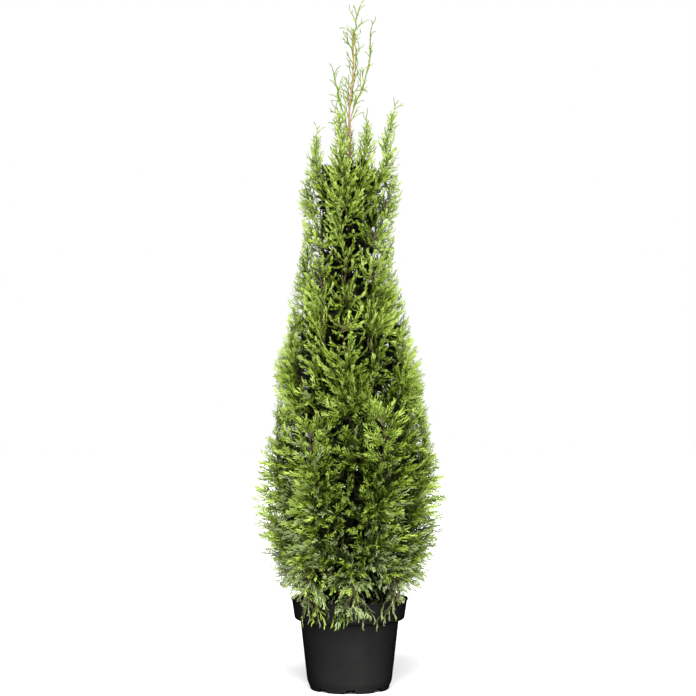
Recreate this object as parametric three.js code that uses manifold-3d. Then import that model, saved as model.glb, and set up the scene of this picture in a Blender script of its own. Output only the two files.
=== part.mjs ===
// A thuja, about 1.15 m of plant, in a black five litre nursery pot.
// The pot, the soil, the trunk, the boughs and every mass of foliage are separate meshes. Units are
// millimetres, +Z is up, +X is right and +Y is to the back. The origin is the centre of the pot's underside.
import * as THREE from 'three';
import { mergeVertices } from 'three/addons/utils/BufferGeometryUtils.js';
import Module from 'manifold-3d';

// ---- Driving dimensions ----
const PLANT_TOP = 1323; // from the floor to the leader's tip
const POT_HEIGHT = 175;
const RIM_RADIUS = 112.5;
const COLLAR_HEIGHT = 39; // the wide band below the rim
const BODY_TOP_RADIUS = 94.5; // just under the collar
const BODY_FOOT_RADIUS = 81.5; // above the rounded foot
const FOOT_RADIUS = 75;
const FOOT_RISE = 8; // how far the base plate stands above the floor
const WALL = 2;
const SOIL_DROP = 22; // from the rim down to the soil
const TRUNK_TOP = 1262;
const TRUNK_RADIUS = 10.5; // just above the root flare
const FLARE_RADIUS = 16;
const MATING_GAP = 0.4; // between pieces that meet
const MASS_GAP = 4; // between neighbouring masses of foliage

// ---- Materials ----
const finish = (color, roughness) => new THREE.MeshStandardMaterial({ color, roughness, metalness: 0 });
const blackPlastic = finish(0x1b1b1c, 0.5);
const compost = finish(0x2f2318, 0.95);
const bark = finish(0x6d4a34, 0.85);
const foliageGreen = finish(0x6d9427, 0.7);
const youngGreen = finish(0x93b43a, 0.7);

// ---- Solids ----
const wasm = await Module();
wasm.setup();

function solidFrom(geometry) {
  const bare = geometry.clone();
  bare.deleteAttribute('normal');
  bare.deleteAttribute('uv');
  const merged = mergeVertices(bare, 1e-4);
  return new wasm.Manifold(new wasm.Mesh({
    numProp: 3,
    vertProperties: merged.attributes.position.array,
    triVerts: new Uint32Array(merged.index.array),
  }));
}

function meshFrom(solid, name, material) {
  const { numProp, vertProperties, triVerts, numVert } = solid.getMesh();
  const positions = new Float32Array(numVert * 3);
  for (let i = 0; i < numVert; i++) {
    positions.set(vertProperties.subarray(i * numProp, i * numProp + 3), i * 3);
  }
  const geometry = new THREE.BufferGeometry();
  geometry.setAttribute('position', new THREE.BufferAttribute(positions, 3));
  geometry.setIndex(new THREE.BufferAttribute(triVerts, 1));
  geometry.computeVertexNormals();
  const mesh = new THREE.Mesh(geometry, material);
  mesh.name = name;
  return mesh;
}

// The biggest piece that is left after a cut.
const largest = (solid) => solid.decompose().reduce((a, b) => (b.volume() > a.volume() ? b : a));

const lerp = THREE.MathUtils.lerp;
const smooth = THREE.MathUtils.smoothstep;
const radians = THREE.MathUtils.degToRad;

// A smooth value between [height, value] rows that are sorted by height.
function along(rows, z) {
  const after = rows.findIndex(([height]) => height > z);
  if (after === 0) return rows[0][1];
  if (after < 0) return rows[rows.length - 1][1];
  const [lowZ, low] = rows[after - 1];
  const [highZ, high] = rows[after];
  return lerp(low, high, smooth(z, lowZ, highZ));
}

// ---- Pot: a stepped plastic wall on eight feet, with a hub at the middle of its base ----
const COLLAR_FOOT_RADIUS = 105.5;
const COLLAR_LIP = 5; // height of the slope under the collar
const FOOT_ROUND_TOP = 17; // where the body's straight wall ends
const LIP_OUT = 1.6; // the bead round the rim
const LIP_HEIGHT = 4;
const LIP_ROUND = 1;
const HUB_RADIUS = 20; // the boss at the middle of the underside
const HUB_DRAFT = 1;
const FOOT_FLARE = 2.5; // how far the foot spreads over its own height
const FOOT_RING = 7; // width of the ring that the pot stands on
const FEET = 8;
const NOTCH_FOOT = 12.5; // half width of the gap between two feet, at the floor
const NOTCH_TOP = 6.8; // and at its top
const NOTCH_OVER = 0.4; // how far the gap cuts above the base plate's underside
const NOTCH_START = 12; // how far inside the foot's edge the gap begins
const NOTCH_DEPTH = 20;
const DRAIN_HALF = [4, 7]; // the oval drain holes, along and across the radius
const DRAIN_IN = 16; // from the foot's edge to a drain's middle
const DRAIN_DEPTH = 12;
const FEET_PHASE = radians(272);
const POT_SIDES = 24;
const collarFoot = POT_HEIGHT - COLLAR_HEIGHT;

// Outer wall from the floor to the rim as [radius, height].
const potOuter = [
  [FOOT_RADIUS, 0],
  [FOOT_RADIUS + FOOT_FLARE, FOOT_RISE],
  [BODY_FOOT_RADIUS, FOOT_ROUND_TOP],
  [BODY_TOP_RADIUS, collarFoot - COLLAR_LIP],
  [COLLAR_FOOT_RADIUS, collarFoot],
  [RIM_RADIUS - LIP_OUT, POT_HEIGHT - LIP_HEIGHT],
  [RIM_RADIUS, POT_HEIGHT - LIP_HEIGHT + LIP_ROUND],
  [RIM_RADIUS, POT_HEIGHT],
];
// The inside of the wall, which the soil follows, from the base plate to the rim.
const potInner = [
  [FOOT_RADIUS + 1, FOOT_RISE + WALL],
  [BODY_FOOT_RADIUS - WALL, FOOT_ROUND_TOP],
  [BODY_TOP_RADIUS - WALL, collarFoot - COLLAR_LIP + WALL],
  [COLLAR_FOOT_RADIUS - WALL, collarFoot + WALL],
  [RIM_RADIUS - LIP_OUT - WALL, POT_HEIGHT],
];

// LatheGeometry turns round Y, so it is laid over to stand on Z.
const lathe = (profile, sides) => solidFrom(new THREE.LatheGeometry(
  profile.map(([r, z]) => new THREE.Vector2(r, z)), sides).rotateX(Math.PI / 2));

function makePot() {
  const underside = [
    [0, FOOT_RISE + WALL],
    [0, 0],
    [HUB_RADIUS, 0],
    [HUB_RADIUS + HUB_DRAFT, FOOT_RISE],
    [FOOT_RADIUS - FOOT_RING, FOOT_RISE],
    [FOOT_RADIUS - FOOT_RING + 1, 0],
  ];
  const inside = [...potInner].reverse();
  const pot = lathe([...underside, ...potOuter, ...inside, [0, FOOT_RISE + WALL]], POT_SIDES);
  const notch = new THREE.Shape([
    new THREE.Vector2(-NOTCH_FOOT, -1),
    new THREE.Vector2(NOTCH_FOOT, -1),
    new THREE.Vector2(NOTCH_TOP, FOOT_RISE + NOTCH_OVER),
    new THREE.Vector2(-NOTCH_TOP, FOOT_RISE + NOTCH_OVER),
  ]);
  const drain = new THREE.Shape().absellipse(0, 0, ...DRAIN_HALF, 0, Math.PI * 2);
  const cuts = [];
  for (let i = 0; i < FEET; i++) {
    const turn = FEET_PHASE + (i * 2 * Math.PI) / FEET;
    // The notch runs outwards through the foot ring, and the drain hole goes down through the base plate.
    const notchCut = new THREE.ExtrudeGeometry(notch, { depth: NOTCH_DEPTH, bevelEnabled: false })
      .applyMatrix4(new THREE.Matrix4().makeBasis(
        new THREE.Vector3(0, 1, 0), new THREE.Vector3(0, 0, 1), new THREE.Vector3(1, 0, 0)))
      .translate(FOOT_RADIUS - NOTCH_START, 0, 0).rotateZ(turn);
    const drainShape = { depth: DRAIN_DEPTH, bevelEnabled: false, curveSegments: 3 };
    const drainCut = new THREE.ExtrudeGeometry(drain, drainShape)
      .translate(FOOT_RADIUS - DRAIN_IN, 0, FOOT_RISE - DRAIN_DEPTH / 3).rotateZ(turn);
    cuts.push(solidFrom(notchCut), solidFrom(drainCut));
  }
  return cuts.reduce((solid, cut) => solid.subtract(cut), pot);
}

// ---- Soil: a plug of compost that fills the pot, slightly mounded round the trunk ----
const soilTop = POT_HEIGHT - SOIL_DROP;
const SOIL_MOUND = 3; // how far the soil rises round the trunk

function makeSoil() {
  const innerAt = (z) => {
    const after = potInner.findIndex(([, height]) => height >= z);
    const [lowR, lowZ] = potInner[after - 1];
    const [highR, highZ] = potInner[after];
    return lerp(lowR, highR, (z - lowZ) / (highZ - lowZ)) - MATING_GAP;
  };
  const side = potInner.filter(([, z]) => z < soilTop).map(([r, z]) => [r - MATING_GAP, z + MATING_GAP]);
  return lathe([
    [0, FOOT_RISE + WALL + MATING_GAP],
    ...side,
    [innerAt(soilTop), soilTop],
    [FLARE_RADIUS * 3, soilTop + SOIL_MOUND * 0.4],
    [FLARE_RADIUS + 3, soilTop + SOIL_MOUND],
    [0, soilTop + SOIL_MOUND],
  ], POT_SIDES);
}

// ---- Limbs ----
// A cylinder bent along a curve, with its radius given by a function of the share of the length.
function limb(curve, radiusAt, steps, sides) {
  const geometry = new THREE.CylinderGeometry(1, 1, 1, sides, steps);
  const frames = curve.computeFrenetFrames(steps, false);
  const p = geometry.attributes.position;
  for (let i = 0; i < p.count; i++) {
    const step = Math.round((p.getY(i) + 0.5) * steps);
    const radius = radiusAt(step / steps);
    const normal = frames.normals[step];
    const side = new THREE.Vector3().crossVectors(normal, frames.tangents[step]);
    const at = curve.getPointAt(step / steps)
      .addScaledVector(normal, p.getX(i) * radius)
      .addScaledVector(side, p.getZ(i) * radius);
    p.setXYZ(i, at.x, at.y, at.z);
  }
  return solidFrom(geometry);
}

// ---- Trunk: one leader that tapers from the root flare to its tip and wanders a little ----
const TRUNK_TIP_RADIUS = 1.1;
const trunkFoot = soilTop + SOIL_MOUND + MATING_GAP;
const trunkLine = new THREE.CatmullRomCurve3([
  new THREE.Vector3(0, 0, trunkFoot),
  new THREE.Vector3(0, 0, trunkFoot + 60),
  new THREE.Vector3(4, -3, 480),
  new THREE.Vector3(-3, 2, 760),
  new THREE.Vector3(1, -1, 1000),
  new THREE.Vector3(-1, 2, 1110),
  new THREE.Vector3(8, 0, 1195),
  new THREE.Vector3(6, -1, TRUNK_TOP),
]);

function trunkAt(z) {
  let low = 0;
  let high = 1;
  for (let i = 0; i < 30; i++) {
    const middle = (low + high) / 2;
    if (trunkLine.getPointAt(middle).z < z) low = middle;
    else high = middle;
  }
  return trunkLine.getPointAt(low);
}

function trunkRadius(share, grow = 0) {
  const flare = (FLARE_RADIUS - TRUNK_RADIUS) * Math.exp(-share * 45);
  return lerp(TRUNK_RADIUS, TRUNK_TIP_RADIUS, share ** 0.85) + flare + grow;
}

// ---- Foliage masses ----
// How far out the tips reach at each height, and the open core inside, where the bare limbs run.
const CROWN = [
  [140, 124], [195, 150], [235, 168], [280, 178], [335, 180], [385, 175], [440, 168], [520, 156],
  [600, 150], [650, 142], [700, 124], [750, 114], [790, 98], [850, 93], [885, 86], [935, 93],
  [1005, 91], [1060, 72], [1100, 62], [1160, 40], [1250, 34], [PLANT_TOP, 8],
];
const CORE = [[160, 46], [330, 48], [600, 36], [760, 24], [880, 9], [PLANT_TOP, 2]];
const MASS_SIDES = 7;
const MASS_RINGS = 7;

const LUMPINESS = 0.13; // how far the swellings go, as a share of the mass's width
const SWAY = 0.16; // how far a plume swings round the trunk from its foot to its tip
const TIP_OUT = 0.82; // how far a plume's middle moves to the crown's outside at its tip
const FOOT_IN = 0.3; // and to the open core at its foot

// Slow uneven swellings, different for each seed.
const lump = (angle, t, seed) => 0.55 * Math.sin(2 * angle + 6 * t + seed * 1.7)
  + 0.45 * Math.sin(3 * angle - 8 * t + seed * 2.9);

// A closed tapering mass round a line. line(t) is its middle, acrossAt(t) and deepAt(t) are its half
// width and half depth, turn(t) the way it faces round the trunk, and grow makes it fatter all round.
function massAround({ line, acrossAt, deepAt, turn, seed }, grow = 0) {
  const geometry = new THREE.SphereGeometry(1, MASS_SIDES, MASS_RINGS);
  const p = geometry.attributes.position;
  const probe = 0.01;
  for (let i = 0; i < p.count; i++) {
    const t = (p.getY(i) + 1) / 2;
    const side = new THREE.Vector3(-Math.sin(turn(t)), Math.cos(turn(t)), 0);
    const run = line(Math.min(t + probe, 1)).sub(line(Math.max(t - probe, 0))).normalize();
    const deep = new THREE.Vector3().crossVectors(side, run).normalize();
    const ring = Math.hypot(p.getX(i), p.getZ(i));
    const angle = Math.atan2(p.getZ(i), p.getX(i));
    const full = ring < 1e-6 ? 0 : 1 + LUMPINESS * lump(angle, t, seed);
    const fatter = full ? grow : 0;
    const at = line(t)
      .addScaledVector(deep, Math.cos(angle) * (full * deepAt(t) + fatter))
      .addScaledVector(side, -Math.sin(angle) * (full * acrossAt(t) + fatter))
      .addScaledVector(run, (2 * t - 1) ** 3 * grow);
    p.setXYZ(i, at.x, at.y, at.z);
  }
  return solidFrom(geometry);
}

const PLUME_FULLNESS = 1.06; // above 1, neighbours in a tier press against each other

// Round at its foot, fullest at two fifths of its length and drawn to a point at its tip.
const plumeShape = (t) => (t <= 0 || t >= 1 ? 0 : (t ** 0.45 * (1 - t) ** 0.62) / 0.482);

// A rising plume that fills its share of the crown between two heights.
function plume({ azimuth, count, foot, tip, reach, seed }) {
  const turn = (t) => radians(azimuth) + SWAY * (t - 0.4) * Math.sin(seed * 5);
  const heightAt = (t) => lerp(foot, tip, t);
  const innerAt = (z) => along(CORE, z);
  const outerAt = (z) => along(CROWN, z) * reach;
  const middleAt = (z) => (innerAt(z) + outerAt(z)) / 2;
  const line = (t) => {
    const z = heightAt(t);
    const drawnOut = lerp(middleAt(z), outerAt(z), TIP_OUT * smooth(t, 0.35, 1));
    const radius = lerp(drawnOut, innerAt(z), FOOT_IN * (1 - t) ** 3);
    const axis = trunkAt(z);
    return new THREE.Vector3(axis.x + radius * Math.cos(turn(t)), axis.y + radius * Math.sin(turn(t)), z);
  };
  const deepAt = (t) => ((outerAt(heightAt(t)) - innerAt(heightAt(t))) / 2) * plumeShape(t);
  const acrossAt = (t) => middleAt(heightAt(t)) * Math.sin(Math.PI / count) * PLUME_FULLNESS * plumeShape(t);
  return { line, acrossAt, deepAt, turn, seed };
}

// A slender free-standing shoot from a foot point to a tip point that are given as [radius, height].
function shoot({ azimuth, from, to, bow, across, seed }) {
  const turn = () => radians(azimuth);
  const line = (t) => {
    const z = lerp(from[1], to[1], t);
    const radius = lerp(from[0], to[0], t) + bow * Math.sin(Math.PI * t);
    const axis = trunkAt(Math.min(z, TRUNK_TOP));
    return new THREE.Vector3(axis.x + radius * Math.cos(turn()), axis.y + radius * Math.sin(turn()), z);
  };
  const halfAt = (t) => across * plumeShape(t);
  return { line, acrossAt: halfAt, deepAt: (t) => 0.8 * halfAt(t), turn, seed };
}

// A low spray that leaves the trunk and arches over the pot's rim round a hub just inside it. The droop
// is how far, in degrees, its tip turns down past level.
const SKIRTS = 8;
const ARCH_HUB = new THREE.Vector3(80, 0, 186);
const ARCH_RISE = [54, 60]; // from the hub up to the spray's middle, at its foot and at its tip
const ARCH_FOOT_ANGLE = 161;
const SKIRT_DEPTH = 19;
const LEAST_DROOP = 4;
const ADDED_DROOP = 42; // for the sprays that face the front and the back

function skirt({ azimuth, droop, seed }) {
  const turn = () => radians(azimuth);
  const arch = (t) => {
    const angle = radians(lerp(ARCH_FOOT_ANGLE, -droop, t));
    const rise = lerp(ARCH_RISE[0], ARCH_RISE[1], t);
    return new THREE.Vector3(Math.cos(angle), 0, Math.sin(angle)).multiplyScalar(rise).add(ARCH_HUB);
  };
  const line = (t) => arch(t).applyAxisAngle(new THREE.Vector3(0, 0, 1), turn());
  const full = (t) => (t <= 0 || t >= 1 ? 0 : (t ** 0.6 * (1 - t) ** 0.5) / 0.47);
  const acrossAt = (t) => arch(t).x * Math.sin(Math.PI / SKIRTS) * PLUME_FULLNESS * full(t);
  return { line, acrossAt, deepAt: (t) => SKIRT_DEPTH * full(t), turn, seed };
}

// The sprays round the foot, one over each notch between the pot's feet. Those at the front and the back
// hang over the rim, the side ones hardly do.
const skirts = Array.from({ length: SKIRTS }, (_, i) => {
  const azimuth = THREE.MathUtils.radToDeg(FEET_PHASE) + (360 / SKIRTS) * i;
  const facing = Math.abs(Math.sin(radians(azimuth)));
  return skirt({ azimuth, droop: LEAST_DROOP + ADDED_DROOP * facing ** 2, seed: i + 1 });
});

// Tiers of plumes, each turned by about half a plume from the one below. The lift is how much the feet
// and tips step up and down from one plume to the next.
const tier = ({ count, first, foot, tip, lift, seed, reachOf }) => Array.from({ length: count }, (_, i) => {
  const step = lift * Math.sin(seed + i * 2.4);
  const azimuth = first + (360 / count) * i;
  return plume({ azimuth, count, foot: foot + step, tip: tip + step, reach: reachOf(i), seed: seed + i });
});
const uneven = (amount, seed) => (i) => 1 - amount / 2 + (amount / 2) * Math.sin(seed + i * 4.1);

const belly = tier({ count: 7, first: 244.3, foot: 184, tip: 505, lift: 14, seed: 11, reachOf: uneven(0.05, 2) });
const waist = tier({ count: 6, first: 270, foot: 375, tip: 675, lift: 20, seed: 21, reachOf: uneven(0.06, 1) });
const chest = tier({ count: 5, first: 234, foot: 565, tip: 850, lift: 20, seed: 31, reachOf: uneven(0.07, 4) });
const neck = tier({ count: 4, first: 265, foot: 735, tip: 1020, lift: 16, seed: 41, reachOf: uneven(0.06, 3) });
const shoulder = [
  { azimuth: 355, from: [14, 900], to: [88, 1130], bow: 14, across: 30, seed: 51 },
  { azimuth: 184, from: [14, 905], to: [62, 1080], bow: 20, across: 30, seed: 52 },
  { azimuth: 246, from: [12, 930], to: [44, 1122], bow: 12, across: 25, seed: 53 },
  { azimuth: 308, from: [12, 925], to: [56, 1102], bow: 14, across: 27, seed: 54 },
  { azimuth: 92, from: [12, 915], to: [60, 1108], bow: 16, across: 34, seed: 55 },
].map(shoot);
const leader = [
  { azimuth: 188, from: [3, 1082], to: [42, 1200], bow: 3, across: 15, seed: 61 },
  { azimuth: 342, from: [3, 1092], to: [36, 1284], bow: 10, across: 15, seed: 62 },
  { azimuth: 80, from: [2, 1105], to: [34, 1246], bow: 6, across: 15, seed: 63 },
  { azimuth: 5, from: [-2, 1218], to: [17, PLANT_TOP], bow: -3, across: 11, seed: 64 },
].map(shoot);

const MASS_GROUPS = [
  ['skirt_mass', skirts, foliageGreen],
  ['belly_mass', belly, foliageGreen],
  ['waist_mass', waist, foliageGreen],
  ['chest_mass', chest, foliageGreen],
  ['neck_mass', neck, foliageGreen],
  ['shoulder_mass', shoulder, youngGreen],
  ['leader_mass', leader, youngGreen],
];

// ---- Boughs: one limb from the trunk to each plume of the three widest tiers ----
// Each row is a name, its plumes, the limb's radius at the trunk, and how far below the place where it
// enters its plume it leaves the trunk. ENTRY and END are the shares of the plume's middle line at which
// the limb comes in and ends.
const ENTRY = 0.16;
const END = 0.42;
const KNEE_SAG = 9;
const BOUGH_GROUPS = [
  ['lower_bough', belly, 4.2, 62],
  ['middle_bough', waist, 3.6, 70],
  ['upper_bough', chest, 3.0, 74],
];
const BOUGH_TAPER = 0.62;
const BOUGH_COLLAR = 0.5; // how much the limb swells where it leaves the trunk
const BOUGH_STAGGER = 11; // between the places where neighbouring boughs leave the trunk
const BOUGH_STEPS = 5;
const BOUGH_SIDES = 5;
const LOWEST_BOUGH = trunkFoot + 14;

function makeBough(mass, radius, drop, grow = 0) {
  const entry = mass.line(ENTRY);
  const start = trunkAt(Math.max(entry.z - drop, LOWEST_BOUGH));
  const knee = start.clone().lerp(entry, 0.55);
  knee.z -= KNEE_SAG;
  const curve = new THREE.CatmullRomCurve3([start, knee, entry, mass.line(END)]);
  const collarAt = (t) => 1 + BOUGH_COLLAR * Math.exp(-t * 16);
  const radiusAt = (t) => lerp(radius, radius * BOUGH_TAPER, t) * collarAt(t) + grow;
  return limb(curve, radiusAt, BOUGH_STEPS, BOUGH_SIDES);
}

// ---- Assembly ----
const plant = new THREE.Group();
plant.name = 'potted_thuja';

plant.add(meshFrom(makePot(), 'pot', blackPlastic));
plant.add(meshFrom(makeSoil(), 'soil', compost));
const TRUNK_STEPS = 24;
const TRUNK_SIDES = 9;
plant.add(meshFrom(limb(trunkLine, (t) => trunkRadius(t), TRUNK_STEPS, TRUNK_SIDES), 'trunk', bark));

// What the foliage keeps clear of: the trunk, and the pot with the space over its soil.
const trunkRoom = (gap) => limb(trunkLine, (t) => trunkRadius(t, gap), TRUNK_STEPS, TRUNK_SIDES);
const RIM_CLEARANCE = 3;
const potRoom = lathe([
  [0, 0],
  ...potOuter.map(([r, z]) => [r + 1, z === POT_HEIGHT ? z + RIM_CLEARANCE : z]),
  [0, POT_HEIGHT + RIM_CLEARANCE],
], POT_SIDES);

const SLIVER = 2; // how far simplifying a cut mass may move its faces
let taken = trunkRoom(MATING_GAP + SLIVER).add(potRoom);
for (const [name, masses, material] of MASS_GROUPS) {
  masses.forEach((mass, i) => {
    const solid = largest(massAround(mass).subtract(taken).simplify(SLIVER));
    taken = taken.add(massAround(mass, MASS_GAP));
    plant.add(meshFrom(solid, `${name}_${i + 1}`, material));
  });
}

// A bough stops at the trunk, at its mass and at the boughs beside it.
let limits = MASS_GROUPS.flatMap(([, masses]) => masses)
  .reduce((room, mass) => room.add(massAround(mass, MATING_GAP + SLIVER)), trunkRoom(MATING_GAP));
for (const [name, masses, radius, drop] of BOUGH_GROUPS) {
  masses.forEach((mass, i) => {
    const lower = drop + BOUGH_STAGGER * (i % 3);
    const free = makeBough(mass, radius, lower).subtract(limits);
    limits = limits.add(makeBough(mass, radius, lower, MATING_GAP));
    plant.add(meshFrom(largest(free), `${name}_${i + 1}`, bark));
  });
}

export default plant;
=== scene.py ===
# A young thuja in a black nursery pot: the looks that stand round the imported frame. Units are metres,
# +Z is up, +X is right and +Y is to the back. The sections follow the plant as it is put together.
import math

import bmesh
import bpy
import numpy as np
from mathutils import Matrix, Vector, noise
from mathutils.bvhtree import BVHTree


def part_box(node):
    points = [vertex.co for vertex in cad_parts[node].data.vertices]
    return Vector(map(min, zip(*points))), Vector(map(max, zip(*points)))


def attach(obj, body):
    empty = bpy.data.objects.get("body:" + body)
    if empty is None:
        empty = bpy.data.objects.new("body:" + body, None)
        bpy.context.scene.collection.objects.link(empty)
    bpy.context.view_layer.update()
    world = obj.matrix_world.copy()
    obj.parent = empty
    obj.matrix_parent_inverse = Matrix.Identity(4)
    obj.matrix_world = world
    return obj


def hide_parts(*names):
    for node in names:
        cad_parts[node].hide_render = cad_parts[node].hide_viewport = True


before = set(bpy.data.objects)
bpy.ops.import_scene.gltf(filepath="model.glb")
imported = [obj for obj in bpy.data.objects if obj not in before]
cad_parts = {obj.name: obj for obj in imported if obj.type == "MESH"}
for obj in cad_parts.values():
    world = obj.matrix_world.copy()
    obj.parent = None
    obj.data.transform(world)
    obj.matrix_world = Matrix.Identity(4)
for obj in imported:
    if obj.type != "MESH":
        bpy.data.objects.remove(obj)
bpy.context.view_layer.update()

# ---- Pot ----
# A moulded nursery pot of satin black plastic: a tapering body, a wide collar with a beaded rim, and a
# rounded foot on eight foot segments. The wall is turned from one profile, then notches and drains are cut.
MM = 0.001
_, pot_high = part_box("pot")
RIM = pot_high.x / MM
TOP = pot_high.z / MM
COLLAR_HEIGHT = 39
COLLAR_FOOT = TOP - COLLAR_HEIGHT
WALL = 2.0
POT_SEGMENTS = 144
FEET = 8
FEET_PHASE = math.radians(272)
FOOT_RING = 75.0
FOOT_RISE = 8.0
DRAIN_IN = 16  # from the foot's edge in to a drain's middle

# Corners of the wall as (radius, height, rounding), from the middle of the underside out and up to the
# rim, then down the inside to the middle of the floor.
POT_CORNERS = [
    (20.0, 0.0, 0.8), (21.0, FOOT_RISE, 1.5), (68.0, FOOT_RISE, 1.0), (69.0, 0.0, 0.5),
    (FOOT_RING, 0.0, 1.3), (FOOT_RING + 2.5, FOOT_RISE, 2.0), (81.5, 17.0, 9.0),
    (94.5, COLLAR_FOOT - 5, 1.6), (105.5, COLLAR_FOOT, 3.0), (RIM - 1.6, TOP - 4.2, 0.7),
    (RIM, TOP - 3.2, 0.8), (RIM, TOP, 1.2), (RIM - 3.4, TOP, 1.0), (103.4, COLLAR_FOOT + WALL, 3.0),
    (92.4, COLLAR_FOOT - 3, 2.0), (79.4, 17.0, 7.0), (76.0, FOOT_RISE + WALL, 2.5),
]


def rounded(corners, start, end, steps=4):
    """The corners as points, each one cut off by an arc of its own rounding."""
    bare = [Vector((r, z)) for r, z, _ in corners]
    points = [start]
    for i, (r, z, rounding) in enumerate(corners):
        corner = bare[i]
        before = bare[i - 1] if i else Vector(start)
        after = bare[i + 1] if i + 1 < len(bare) else Vector(end)
        cut = min(rounding, (before - corner).length * 0.45, (after - corner).length * 0.45)
        enter = corner + (before - corner).normalized() * cut
        leave = corner + (after - corner).normalized() * cut
        for step in range(steps + 1):
            t = step / steps
            point = enter * (1 - t) ** 2 + corner * (2 * t * (1 - t)) + leave * t**2
            points.append((point.x, point.y))
    return points + [end]


def linked(name, data):
    """A new object with the given data, put in the scene."""
    made = bpy.data.objects.new(name, data)
    bpy.context.scene.collection.objects.link(made)
    return made


def settled(name, shape):
    """A shape under work as a finished mesh object."""
    mesh = bpy.data.meshes.new(name)
    shape.to_mesh(mesh)
    shape.free()
    return linked(name, mesh)


def smoothed(piece):
    """The piece with every face shaded smooth."""
    piece.data.polygons.foreach_set("use_smooth", [True] * len(piece.data.polygons))
    return piece


def joined_mesh(name, vertices, faces):
    """A mesh object from an array of vertices in metres and faces of one size, as fast as arrays go."""
    vertices = np.asarray(vertices, np.float32)
    faces = np.asarray(faces, np.int32)
    mesh = bpy.data.meshes.new(name)
    mesh.vertices.add(len(vertices))
    mesh.vertices.foreach_set("co", vertices.ravel())
    mesh.loops.add(faces.size)
    mesh.loops.foreach_set("vertex_index", faces.ravel())
    mesh.polygons.add(len(faces))
    mesh.polygons.foreach_set("loop_start", np.arange(len(faces), dtype=np.int32) * faces.shape[1])
    mesh.update(calc_edges=True)
    return linked(name, mesh)


def turned(name, profile, segments):
    """A solid of revolution round Z from (radius, height) points in millimetres, on the axis at both ends."""
    shape = bmesh.new()
    rings = []
    for r, z in profile:
        if r < 1e-6:
            rings.append([shape.verts.new((0, 0, z * MM))] * segments)
            continue
        angles = [2 * math.pi * i / segments for i in range(segments)]
        rings.append([shape.verts.new((r * MM * math.cos(a), r * MM * math.sin(a), z * MM)) for a in angles])
    for low, high in zip(rings, rings[1:]):
        for i in range(segments):
            j = (i + 1) % segments
            corners = dict.fromkeys([low[i], low[j], high[j], high[i]])
            shape.faces.new(corners)
    bmesh.ops.recalc_face_normals(shape, faces=shape.faces)
    return settled(name, shape)


def prism(outline, low, high):
    """A closed prism between two levels along its third axis, as vertices and faces."""
    count = len(outline)
    vertices = [(x, y, level) for level in (low, high) for x, y in outline]
    sides = [(i, (i + 1) % count, count + (i + 1) % count, count + i) for i in range(count)]
    return vertices, sides + [tuple(reversed(range(count))), tuple(range(count, 2 * count))]


def cutter(name, shapes):
    """One mesh of many separate closed shapes, each a list of vertices in millimetres and faces."""
    shape = bmesh.new()
    for vertices, faces in shapes:
        made = [shape.verts.new(Vector(v) * MM) for v in vertices]
        for face in faces:
            shape.faces.new([made[i] for i in face])
    bmesh.ops.recalc_face_normals(shape, faces=shape.faces)
    return settled(name, shape)


def plain_mesh(piece, name):
    """The piece with its modifiers worked into its mesh."""
    seen = piece.evaluated_get(bpy.context.evaluated_depsgraph_get())
    mesh = bpy.data.meshes.new_from_object(seen)
    mesh.name = name
    piece.modifiers.clear()
    piece.data = mesh
    piece.name = name
    return piece


notch_outline = [(-12.4, -2), (12.4, -2), (11.2, 2.5), (8.6, 6.6),
                 (6.2, 8.3), (-6.2, 8.3), (-8.6, 6.6), (-11.2, 2.5)]
drain_outline = [(4 * math.cos(a), 7 * math.sin(a)) for a in np.linspace(0, 2 * math.pi, 16, endpoint=False)]
notches = []
drains = []
for foot in range(FEET):
    turn = FEET_PHASE + foot * 2 * math.pi / FEET
    out, side = (math.cos(turn), math.sin(turn)), (-math.sin(turn), math.cos(turn))
    flat, faces = prism(notch_outline, FOOT_RING - 13, FOOT_RING + 12)
    notches.append(([(out[0] * r + side[0] * s, out[1] * r + side[1] * s, z) for s, z, r in flat], faces))
    flat, faces = prism(drain_outline, FOOT_RISE - 3, FOOT_RISE + 5)
    drains.append(([(out[0] * (r + FOOT_RING - DRAIN_IN) + side[0] * s,
                     out[1] * (r + FOOT_RING - DRAIN_IN) + side[1] * s, z) for r, s, z in flat], faces))

pot = turned("pot_wall", rounded(POT_CORNERS, (0, 0), (0, FOOT_RISE + WALL)), POT_SEGMENTS)
for shapes in (notches, drains):
    tool = cutter("pot_tool", shapes)
    cut = pot.modifiers.new("cut", "BOOLEAN")
    cut.operation = "DIFFERENCE"
    cut.solver = "EXACT"
    cut.object = tool
    plain_mesh(pot, "pot_wall")
    bpy.data.objects.remove(tool)
smoothed(pot)
pot.data.set_sharp_from_angle(angle=math.radians(38))


def new_material(name, base, roughness):
    """A material with a principled shader, and a call that adds a node and wires it by name."""
    made = bpy.data.materials.new(name)
    made.use_nodes = True
    made.diffuse_color = (*base, 1)
    tree = made.node_tree
    shader = tree.nodes["Principled BSDF"]
    shader.inputs["Base Color"].default_value = (*base, 1)
    shader.inputs["Roughness"].default_value = roughness

    def add(kind, wires=(), **settings):
        node = tree.nodes.new(kind)
        for key, value in settings.items():
            if key in node.inputs:
                node.inputs[key].default_value = value
            else:
                setattr(node, key, value)
        for socket, source in wires:
            tree.links.new(source, node.inputs[socket])
        return node

    return made, tree, shader, add


def srgb(red, green, blue):
    """A colour given as 0 to 255 screen values, as the shader's linear values."""
    shares = [c / 255 for c in (red, green, blue)]
    return tuple(c / 12.92 if c <= 0.04045 else ((c + 0.055) / 1.055) ** 2.4 for c in shares)


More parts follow.
